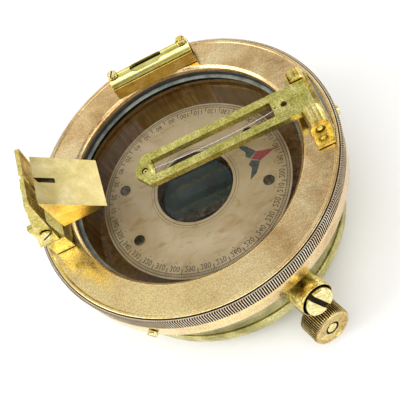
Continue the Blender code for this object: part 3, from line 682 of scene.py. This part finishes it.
def make_filler():
    plug = soften([(0.0, -17.0), (2.9, -17.0), (2.9, -4.2), (5.9, -4.2), (5.9, 0.0), (0.0, 0.0)], 0.45)
    slot = placed(box((-8.0, 8.0), (-1.1, 1.1), (-1.8, 1.0)), *outward(FILLER), FILLER_SLOT_TURN)
    cap = piece("filler_cap", radial(plug, FILLER), METALS["screw"], "bowl", ["filler_plug"], cuts=[slot])

    def in_slot(spot, normal):
        out, across = out_and_across(spot, FILLER)
        return -1.9 < out < -0.2 and across < 5.5

    # Painted shade: the driver slot's walls and floor are given the near-black material.
    recolour(cap, METALS["dirt_and_shade"], in_slot)
    washer = soften([(3.3, -5.3), (6.0, -5.3), (6.0, -4.5), (3.3, -4.5)], 0.15)
    piece("filler_gasket", radial(washer, FILLER), FIBRE, "bowl", ["filler_washer"])


def clamped_ring(inner, heights, soft):
    """The outline of a flat ring, or of a disc, that fills the bowl's seat."""
    low, high = heights
    return soften([(inner, low), (CLAMPED_RADIUS, low), (CLAMPED_RADIUS, high), (inner, high)], soft)


def make_window():
    lower = clamped_ring(50.4, LOWER_SEAL, 0.15)
    piece("lower_seal", lathe(lower, MID * 2), BLACK, "bowl", ["lower_gasket"])
    disc = clamped_ring(0.0, GLASS_DISC, 0.2)
    window = piece("window_disc", lathe(disc, MID * 2), GLASS, "bowl", ["window_glass"])
    recolour(window, GLASS_BACK, lambda spot, normal: normal.z < 0.5)
    upper = clamped_ring(48.3, UPPER_SEAL, 0.2)
    piece("upper_seal", lathe(upper, BIG), RUBBER, "bowl", ["upper_gasket"])
    low, high = GLASS_RING
    ring = [(49.5, low), (CLAMPED_RADIUS, low), (CLAMPED_RADIUS, high), (50.0, high), (49.5, high - 0.5)]
    piece("glass_ring", lathe(soften(ring, 0.2), BIG), BLACK, "bowl", ["glass_retainer"])


def make_base():
    outline = [(6.0, 11.0), (6.0, 8.0), (11.0, 8.0), (11.0, 0.0), (29.4, 0.0), (30.0, 0.6), (30.0, 8.0)]
    outline += arc((52.7, 14.0), 6.0, -90.0, 0.0, 12)
    outline += [(58.7, 19.6), (53.6, 19.6), (53.6, 11.0)]
    boss = soften([(0.0, -21.5), (4.2, -21.5), (4.2, -11.0), (0.0, -11.0)], 0.4)
    bore = [(0.0, -30.0), (2.2, -30.0), (2.2, 0.0), (0.0, 0.0)]
    cuts = [radial(bore, CLAMP, SMALL)]
    for index in range(3):
        angle = math.radians(90.0 + 120.0 * index)
        spot = (22.0 * math.cos(angle), 22.0 * math.sin(angle))
        cuts.append(rod(2.5, (*spot, -1.0), (*spot, 6.0), SMALL))
    base = piece("base_body", lathe(soften(outline, 0.25)), METALS["base"], "base", ["base_casting"],
                 joins=[radial(boss, CLAMP)], cuts=cuts)
    # Painted shadow: the clamp boss, where it stands out under the bowl's rim, is given the dark metal for
    # the shadow that the bowl casts on it.
    recolour(base, METALS["dark"], lambda spot, normal: from_axis(spot) > 59.0)
    cap = soften([(0.0, 0.0), (10.7, 0.0), (10.7, 1.6), (0.0, 1.6)], 0.3)
    piece("foot_cap", lathe(cap, MID), METALS["base"], "base", ["spindle_cap"])


def make_clamp():
    knob = [(2.2, -10.6), (6.9, -10.6), (7.6, -10.2), (KNOB_RADIUS, -9.4), (KNOB_RADIUS, -1.2), (7.9, -0.35),
            (7.4, 0.0), (6.8, 0.0), (6.5, -0.5), (6.2, -0.6), (3.5, -0.4), (3.1, -0.5), (2.9, -0.9),
            (2.9, -2.2), (2.2, -2.4)]
    grips = radial(knob, CLAMP, KNOB_TEETH * TOOTH_STEPS,
                   lambda row, step: tooth(row, step, 3, 4, KNOB_TOOTH_DEPTH))
    grip = piece("clamp_grip", grips, METALS["knob"], "clamp_knob", ["clamp_knob"],
                 sharp=30.0)

    # Painted shade: the gaps between the teeth and the hole in the face are given the near-black material.
    def is_dirty(spot, normal):
        out, across = out_and_across(spot, CLAMP)
        between_teeth = -9.6 < out < -0.9 and 5.0 < across < KNOB_RADIUS - 0.3
        in_hole = out < -0.6 and across < 3.3
        return between_teeth or in_hole

    recolour(grip, METALS["dirt_and_shade"], is_dirty)
    stem = soften([(0.0, -21.6), (1.9, -21.6), (1.9, -2.0), (2.3, -1.8), (2.3, -0.5), (0.0, -0.2)], 0.3)
    piece("clamp_stem", radial(stem, CLAMP, SMALL), METALS["screw"], "clamp_knob", ["clamp_screw"])


# ---------------------------------------------------------------- card

def ring_band(inner, outer):
    """A flat ring, as (vertices, faces)."""
    verts, faces = [], []
    for step in range(BAND_STEPS):
        angle = 2 * math.pi * step / BAND_STEPS
        for radius in (inner, outer):
            verts.append((radius * math.cos(angle), radius * math.sin(angle)))
        after = (step + 1) % BAND_STEPS
        faces.append((2 * step, 2 * step + 1, 2 * after + 1, 2 * after))
    return verts, faces


def tick(azimuth, inner, outer, width):
    """A straight radial mark, as (vertices, faces)."""
    angle = math.radians(azimuth)
    along = Vector((math.cos(angle), math.sin(angle)))
    side = Vector((-along.y, along.x)) * width / 2
    verts = [along * inner - side, along * outer - side, along * outer + side, along * inner + side]
    return [tuple(v) for v in verts], [(0, 1, 2, 3)]


def numeral(text, azimuth, radius, size):
    """A mirrored number with its top away from the centre, as (vertices, faces)."""
    curve = bpy.data.curves.new("numeral", "FONT")
    curve.body = text
    curve.size = size
    curve.align_x = "CENTER"
    curve.align_y = "CENTER"
    curve.resolution_u = 3
    item = bpy.data.objects.new("numeral", curve)
    bpy.context.scene.collection.objects.link(item)
    bpy.context.view_layer.update()
    mesh = item.to_mesh()
    angle = math.radians(azimuth)
    up = Vector((math.cos(angle), math.sin(angle)))
    right = Vector((up.y, -up.x))
    verts = []
    for vert in mesh.vertices:
        spot = up * (radius + vert.co.y) - right * vert.co.x * 0.86
        verts.append(tuple(spot))
    faces = [tuple(reversed(face.vertices)) for face in mesh.polygons]
    item.to_mesh_clear()
    bpy.data.objects.remove(item, do_unlink=True)
    bpy.data.curves.remove(curve)
    return verts, faces


def flat_print(name, shapes, material, height):
    """Join flat shapes into one printed layer on the card."""
    verts, faces = [], []
    for shape_verts, shape_faces in shapes:
        start = len(verts)
        verts += [(x * MM, y * MM, height * MM) for x, y in shape_verts]
        faces += [tuple(start + index for index in face) for face in shape_faces]
    mesh = bpy.data.meshes.new(name)
    mesh.from_pydata(verts, [], faces)
    bm = bmesh.new()
    bm.from_mesh(mesh)
    for face in bm.faces:
        if face.normal.z < 0.0:
            face.normal_flip()
    bm.to_mesh(mesh)
    bm.free()
    item = bpy.data.objects.new(name, mesh)
    bpy.context.scene.collection.objects.link(item)
    mesh.materials.append(material)
    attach(item, "card")


def make_card():
    disc = soften([(CARD_HOLE, CARD_TOP - 0.4), (CARD_RADIUS, CARD_TOP - 0.4), (CARD_RADIUS, CARD_TOP),
                   (CARD_HOLE, CARD_TOP)], 0.12)
    piece("card_plate", lathe(disc, BIG), CARD, "card", ["card_disc"])

    shapes = [ring_band(40.9, 41.15), ring_band(39.65, 39.86), ring_band(18.3, 18.5), ring_band(19.5, 19.6)]
    for degree in range(360):
        shapes.append(tick(degree, 39.8, 41.0, 0.17))
    for degree in range(5, 360, 10):
        shapes.append(tick(degree, 37.7, 39.8, 0.34))
    for degree in range(0, 360, 10):
        azimuth = 180 - degree
        shapes.append(numeral(str(degree or 360), azimuth, SCALE_RADIUS, 3.5))
        shapes.append(tick(azimuth, 34.9, 35.3, 0.4))
    flat_print("card_scale", shapes, INK, CARD_TOP + 0.04)

    kite = [(37.2, 0.0), (29.6, 2.5), (26.2, 0.0), (29.6, -2.5)]
    wings = []
    for side in (1.0, -1.0):
        wing = [(29.4, 2.6 * side), (26.0, 0.5 * side), (24.4, 2.2 * side), (25.2, 4.2 * side),
                (22.6, 9.4 * side), (26.2, 7.4 * side)]
        wings.append((wing, [tuple(range(len(wing)))]))
    flat_print("north_kite", [(kite, [(0, 1, 2, 3)])], RED_INK, CARD_TOP + 0.05)
    flat_print("north_wings", wings, SLATE_INK, CARD_TOP + 0.045)

    buoy = soften([(3.0, 37.6), (3.0, 32.4), (11.0, 31.6), (15.6, 33.2), (16.6, 35.6), (16.0, 38.0),
                   (0.0, 38.3), (0.0, 37.6)], 0.4)
    piece("card_buoy", lathe(buoy, MID), FLOAT, "card", ["card_float"])
    for name, (x, y) in RIVET_SPOTS.items():
        head = soften([(0.0, 0.3), (2.4, 0.3), (2.3, 0.62), (1.5, 0.8), (0.0, 0.8)], 0.3)
        rivet = placed(lathe(head, SMALL), (x, y, CARD_TOP), (0, 0, 1))
        piece(f"rivet_{name}", rivet, METALS["dark"], "card", [f"card_rivet_{name}"])


# ---------------------------------------------------------------- sight

def make_sight():
    width = ARM_HALF_WIDTH
    hinge_x, hinge_z = HINGE
    outline = [(58.0, -width), (58.0, width), (-12.25, width), (-16.7, 1.0), (-16.7, -1.0), (-12.25, -width)]
    knuckle = rod(2.3, (hinge_x, -width + 0.1, hinge_z), (hinge_x, width - 0.1, hinge_z), MID)
    slope = [(WINDOW[0] + 0.1, 63.2), (WINDOW[0] + 0.1, 66.0), (WINDOW[0] - 2.4, 66.0)]
    cuts = [
        box(WINDOW, (-WINDOW_HALF_WIDTH, WINDOW_HALF_WIDTH), (50.0, 70.0)),
        rod(PIN_HOLE, (hinge_x, -12.0, hinge_z), (hinge_x, 12.0, hinge_z)),
        rod(1.3, (PEEP_HOLE_X, 0.0, 50.0), (PEEP_HOLE_X, 0.0, 70.0)),
        rod(1.4, (WIRE_SCREW_X, 0.0, 50.0), (WIRE_SCREW_X, 0.0, 70.0)),
        slab(slope, "Y", -2.6, 2.6),
        rod(0.35, (43.6, 0.0, 62.5), (43.6, 0.0, 66.0)),
    ]
    piece("sight_bar", slab(outline, "Z", ARM_BOTTOM, ARM_TOP), METALS["arm"], "sight", ["sight_arm"],
          joins=[knuckle], cuts=cuts, bevel=0.4)
    points = []
    for step in range(WIRE_STEPS + 1):
        share = step / WIRE_STEPS
        bow = -WIRE_BOW * math.sin(math.pi * share ** 0.85)
        points.append(Vector((WINDOW[1] + 0.4 - share * 52.0, bow, WIRE_HEIGHT - 0.2 * share)))
    piece("hair_wire", tube(points, 0.17, 8), METALS["wire"], "sight", ["sight_wire"])
    screw = soften([(0.0, 61.9), (1.1, 61.9), (1.1, 64.1), (0.45, 64.1), (0.4, 63.4), (0.0, 63.4)], 0.12)
    piece("wire_clamp_screw", placed(lathe(screw, SMALL), (WIRE_SCREW_X, 0, 0), (0, 0, 1)),
          METALS["screw"], "sight", ["wire_screw"])


def tube(points, radius, sides):
    """A round wire along points."""
    bm = bmesh.new()
    rings = []
    for index, point in enumerate(points):
        ahead = points[min(index + 1, len(points) - 1)] - points[max(index - 1, 0)]
        side = ahead.cross(Vector((0, 0, 1))).normalized()
        up = side.cross(ahead).normalized()
        ring = []
        for step in range(sides):
            angle = 2 * math.pi * step / sides
            reach = side * math.cos(angle) + up * math.sin(angle)
            ring.append(bm.verts.new(point + reach * radius))
        rings.append(ring)
    for first, second in zip(rings, rings[1:]):
        for step in range(sides):
            after = (step + 1) % sides
            bm.faces.new((first[step], first[after], second[after], second[step]))
    bm.faces.new(rings[0])
    bm.faces.new(rings[-1])
    return bm


def make_bracket():
    hinge_x, hinge_z = HINGE
    outline = [(51.7, -21.5), (58.6, -21.5), (60.6, -15.5), (60.6, 15.0), (51.7, 15.0)]
    near = [(51.7, 58.5)] + arc((55.6, 63.4), 3.9, 180.0, 0.0, 24) + [(59.5, 58.5)]
    far = [(52.6, 58.5)] + arc((55.8, 63.2), 3.2, 180.0, 0.0, 24) + [(59.0, 58.5)]
    joins = [slab(near, "Y", -16.4, -7.6), slab(far, "Y", 7.6, 13.0)]
    drills = [rod(PIN_HOLE, (hinge_x, -20.0, hinge_z), (hinge_x, 16.0, hinge_z)),
              rod(2.1, (hinge_x, -18.0, hinge_z), (hinge_x, -15.6, hinge_z))]
    piece("hinge_bracket", slab(outline, "Z", ON_RING, 59.1), METALS["bracket"], "sight_ring",
          ["sight_bracket"], joins=joins, drills=drills, bevel=0.3)
    pin = rod(1.2, (hinge_x, -16.0, hinge_z), (hinge_x, 13.0, hinge_z), SMALL, 0.25)
    piece("hinge_pin", pin, METALS["screw"], "sight_ring", ["sight_hinge_pin"])


# ---------------------------------------------------------------- level

def level_holes(spots):
    """Cutters for the holes of the level's upright screws."""
    y = LEVEL_AXIS[0]
    return [rod(1.1, (x, y, 58.3), (x, y, 70.0)) for x in spots]


def make_level():
    y, z = LEVEL_AXIS
    foot = [(47.7, ON_RING), (57.3, ON_RING), (57.3, 64.1), (47.7, 64.1)]
    cradle = rod(LEVEL_RADIUS + 0.3, (-18.0, y, z), (25.0, y, z), MID)
    piece("level_cradle", slab(foot, "X", *LEVEL_X), METALS["gold"], "sight_ring", ["level_block"],
          cuts=[cradle], drills=level_holes(LEVEL_SCREWS), bevel=0.25)

    start, end = LEVEL_X
    shell = soften([(3.1, start), (LEVEL_RADIUS, start), (LEVEL_RADIUS, end), (3.1, end)], 0.3)
    body = placed(lathe(shell, MID), (0.0, y, z), (1.0, 0.0, 0.0))
    low, high = VIAL_WINDOW
    half = VIAL_WINDOW_HALF_WIDTH
    window = arc((low + half, y), half, 270.0, 90.0, 20) + arc((high - half, y), half, 90.0, -90.0, 20)
    piece("level_sleeve", body, METALS["level"], "sight_ring", ["level_tube"],
          cuts=[slab(window, "Z", z + 0.9, z + 8.0)], drills=level_holes(LEVEL_SCREWS), bevel=0.2)
    vial = soften([(0.0, -9.0), (2.6, -9.0), (2.6, 14.0), (0.0, 14.0)], 0.6)
    piece("level_glass", placed(lathe(vial, SMALL), (0.0, y, z), (1.0, 0.0, 0.0)), VIAL_GLASS, "sight_ring",
          ["level_vial"])
    for index, x in enumerate(LEVEL_SCREWS):
        start, end = LEVEL_PLUGS[index]
        plug = rod(2.8, (start, y, z), (end, y, z), SMALL, 0.4)
        piece(f"level_end_{index + 1}", plug, METALS["gold"], "sight_ring", [f"level_plug_{index + 1}"],
              cuts=level_holes([x]))
        slotted_screw(f"level_adjuster_{index + 1}", f"level_screw_{index + 1}", ((x, y, 69.3), (0, 0, 1)),
                      2.2, 1.8, 0.8, 10.5, 70.0 - 45.0 * index)


# ---------------------------------------------------------------- prism

def vane_x(height):
    """The X of the leaning vane's front at a height."""
    share = (height - BLOCK_TOP) / (VANE_TOP - BLOCK_TOP)
    return VANE_FRONT[0] + (VANE_FRONT[1] - VANE_FRONT[0]) * share


def vane_screw_hole():
    x, z = VANE_SCREW
    return rod(1.3, (x, -20.0, z), (x, 20.0, z))


def make_prism_mount():
    outline = [(-50.7, -13.5), (-50.7, 13.5), (-59.0, 13.5), (-61.4, 9.0), (-61.4, -9.0), (-59.0, -13.5)]
    ears = []
    for side in (-1.0, 1.0):
        middle = side * 10.2
        ears.append(box((-60.5, -53.5), (middle - 1.2, middle + 1.2), (BLOCK_TOP - 1.0, 77.0)))
    piece("prism_foot", slab(outline, "Z", ON_RING, BLOCK_TOP), METALS["cheek"], "sight_ring",
          ["prism_block"], joins=ears, drills=[vane_screw_hole()], bevel=0.3)


def make_vane():
    low, top, foot = BLOCK_TOP + 0.3, VANE_TOP - 0.3, VANE_FOOT
    cheek = [(-61.4, low), (vane_x(low) + 0.15, low), (vane_x(top) + 0.15, top),
             (vane_x(top) - 0.9, VANE_TOP + 0.15), (vane_x(top) - 1.95, top)]
    plate = [(vane_x(foot) - VANE_THICKNESS, foot), (vane_x(foot), foot), (vane_x(VANE_TOP), VANE_TOP),
             (vane_x(VANE_TOP) - VANE_THICKNESS, VANE_TOP)]
    notch = [(-55.0, -4.6), (-55.0, 4.6), (-50.9, 0.0)]
    cuts = [box((-60.0, -45.0), (-0.85, 0.85), (foot + 1.0, 99.0)), slab(notch, "Z", 85.5, 99.0)]
    vane = piece("vane_plate", slab(plate, "Y", -11.9, 11.9), METALS["cheek"], "sight_ring", ["eye_vane"],
                 joins=[slab(cheek, "Y", *sides) for sides in CHEEKS], cuts=cuts,
                 drills=[vane_screw_hole()], bevel=0.25)
    recolour(vane, METALS["bracket"], lambda spot, normal: normal.x > 0.7 and abs(spot.y) < 11.6)
    for name, side in (("right", -1.0), ("left", 1.0)):
        where = ((VANE_SCREW[0], side * 15.1, VANE_SCREW[1]), (0.0, side, 0.0))
        slotted_screw(f"cheek_screw_{name}", f"vane_screw_{name}", where, 2.5, 1.3, 1.0, 5.9, 25.0)


def make_prism():
    low, top = CASE_Z
    outer = [(CASE_X, low), (CASE_X + top - low, low), (CASE_X, top)]
    left, deep = CASE_X + CASE_WALL, low - 2.0
    rise = top - CASE_WALL * (1.0 + math.sqrt(2.0))
    room = [(left, deep), (left + rise - deep, deep), (left, rise)]
    cuts = [slab(room, "Y", -CASE_HALF_WIDTH + CASE_WALL, CASE_HALF_WIDTH - CASE_WALL),
            box((CASE_X - 3.0, CASE_X + 5.8), (-CASE_SLIT, CASE_SLIT), (82.6, 95.0)),
            rod(4.3, (CASE_X - 4.0, 0.0, LENS_HEIGHT), (CASE_X + 2.0, 0.0, LENS_HEIGHT))]
    cover = piece("prism_cover", slab(outer, "Y", -CASE_HALF_WIDTH, CASE_HALF_WIDTH), METALS["pale"],
                  "prism", ["prism_case"], cuts=cuts, bevel=0.35)
    outside = CASE_HALF_WIDTH - 0.1
    recolour(cover, METALS["gold"], lambda spot, normal: abs(normal.y) > 0.9 and abs(spot.y) > outside)
    # Painted shade: the case's inner side walls are given the near-black material.
    recolour(cover, METALS["dirt_and_shade"], lambda spot, normal: abs(normal.y) > 0.9 and abs(spot.y) <= outside)
    lens = soften([(0.0, 0.1), (4.0, 0.1), (4.0, 0.5), (2.4, 0.8), (0.0, 0.9)], 0.15)
    piece("prism_lens", placed(lathe(lens, SMALL), (CASE_X, 0.0, LENS_HEIGHT), (1, 0, 0)), PRISM_GLASS,
          "prism", ["eye_lens"])
    x, z = left + 0.3, low + 0.3
    wedge = [(x, z), (x + PRISM_SIDE, z), (x, z + PRISM_SIDE)]
    piece("prism_wedge", slab(wedge, "Y", -10.3, 10.3), PRISM_GLASS, "prism", ["prism_glass"],
          bevel=0.15)
    screw = soften([(0.0, 0.0), (0.6, 0.0), (0.6, 5.3), (1.9, 5.3), (1.9, 6.4), (0.0, 6.4)], 0.2)
    piece("focus_knob", placed(lathe(screw, SMALL), (CASE_X - 0.3, 0.0, FOCUS_SCREW_HEIGHT), (-1, 0, 0)),
          METALS["screw"], "prism", ["focus_screw"])


# ---------------------------------------------------------------- carried-over nodes

INNER_NODES = {
    METALS["steel"]: ["bowl_spindle", "spindle_washer", "expansion_diaphragm", "pivot_point", "jewel_cup"],
    METALS["base"]: ["spindle_nut", "diaphragm_ring", "pivot_post"],
    METALS["dark"]: ["card_magnet_left", "card_magnet_right"],
    METALS["screw"]: ["clamp_pad"],
    FIBRE: ["thrust_washer"],
}


def finish_inner_nodes():
    for material, names in INNER_NODES.items():
        for name in names:
            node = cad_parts[name]
            node.data.materials.clear()
            node.data.materials.append(material)


# ---------------------------------------------------------------- studio

def area_light(name, location, target, size, power):
    """A soft rectangular light, in metres and watts, that faces a target."""
    data = bpy.data.lights.new(name, "AREA")
    data.shape = "RECTANGLE"
    data.size, data.size_y = size
    data.energy = power
    item = bpy.data.objects.new(name, data)
    item.location = location
    item.rotation_euler = (Vector(location) - Vector(target)).to_track_quat("Z", "Y").to_euler()
    bpy.context.scene.collection.objects.link(item)


def make_floor():
    bpy.ops.mesh.primitive_grid_add(x_subdivisions=2, y_subdivisions=2, size=6.0)
    floor = bpy.context.object
    floor.name = "floor"
    shader = Shader("floor_paper")
    clouds = shader.noise(0.01, 2.0)
    shader.finish(shader.ramp(clouds, (0.3, (0.95, 0.95, 0.95)), (0.7, (0.97, 0.97, 0.97))), 0.9, 0.0)
    floor.data.materials.append(shader.material)


def make_world():
    """Bright surroundings with a few darker clouds, for the metal to mirror."""
    world = bpy.data.worlds.new("studio")
    bpy.context.scene.world = world
    world.use_nodes = True
    tree = world.node_tree
    place = tree.nodes.new("ShaderNodeTexCoord")
    clouds = tree.nodes.new("ShaderNodeTexNoise")
    clouds.inputs["Scale"].default_value = 2.0
    clouds.inputs["Detail"].default_value = 1.0
    tree.links.new(place.outputs["Generated"], clouds.inputs["Vector"])
    ramp = tree.nodes.new("ShaderNodeValToRGB")
    for stop, position, colour in zip(ramp.color_ramp.elements, (0.38, 0.62), (WORLD_SHADE, WORLD_GLOW)):
        stop.position = position
        stop.color = (*colour, 1.0)
    tree.links.new(clouds.outputs[0], ramp.inputs[0])
    tree.links.new(ramp.outputs[0], tree.nodes["Background"].inputs["Color"])
    tree.nodes["Background"].inputs["Strength"].default_value = WORLD_STRENGTH


def make_camera():
    data = bpy.data.cameras.new("camera")
    data.lens = CAMERA_LENS
    data.sensor_width = 36.0
    data.clip_start = 0.01
    camera = bpy.data.objects.new("camera", data)
    turned = Matrix((CAMERA_RIGHT, CAMERA_UP, CAMERA_BACK)).transposed().to_4x4()
    camera.matrix_world = Matrix.Translation(CAMERA_PLACE) @ turned
    bpy.context.scene.collection.objects.link(camera)
    bpy.context.scene.camera = camera


make_floor()
make_world()
for light in LIGHTS:
    area_light(*light)
make_camera()
make_verge_ring()
make_bowl()
make_filler()
make_window()
make_base()
make_clamp()
make_card()
make_sight()
make_bracket()
make_level()
make_prism_mount()
make_vane()
make_prism()
finish_inner_nodes()
bpy.context.scene.view_settings.view_transform = "Standard"
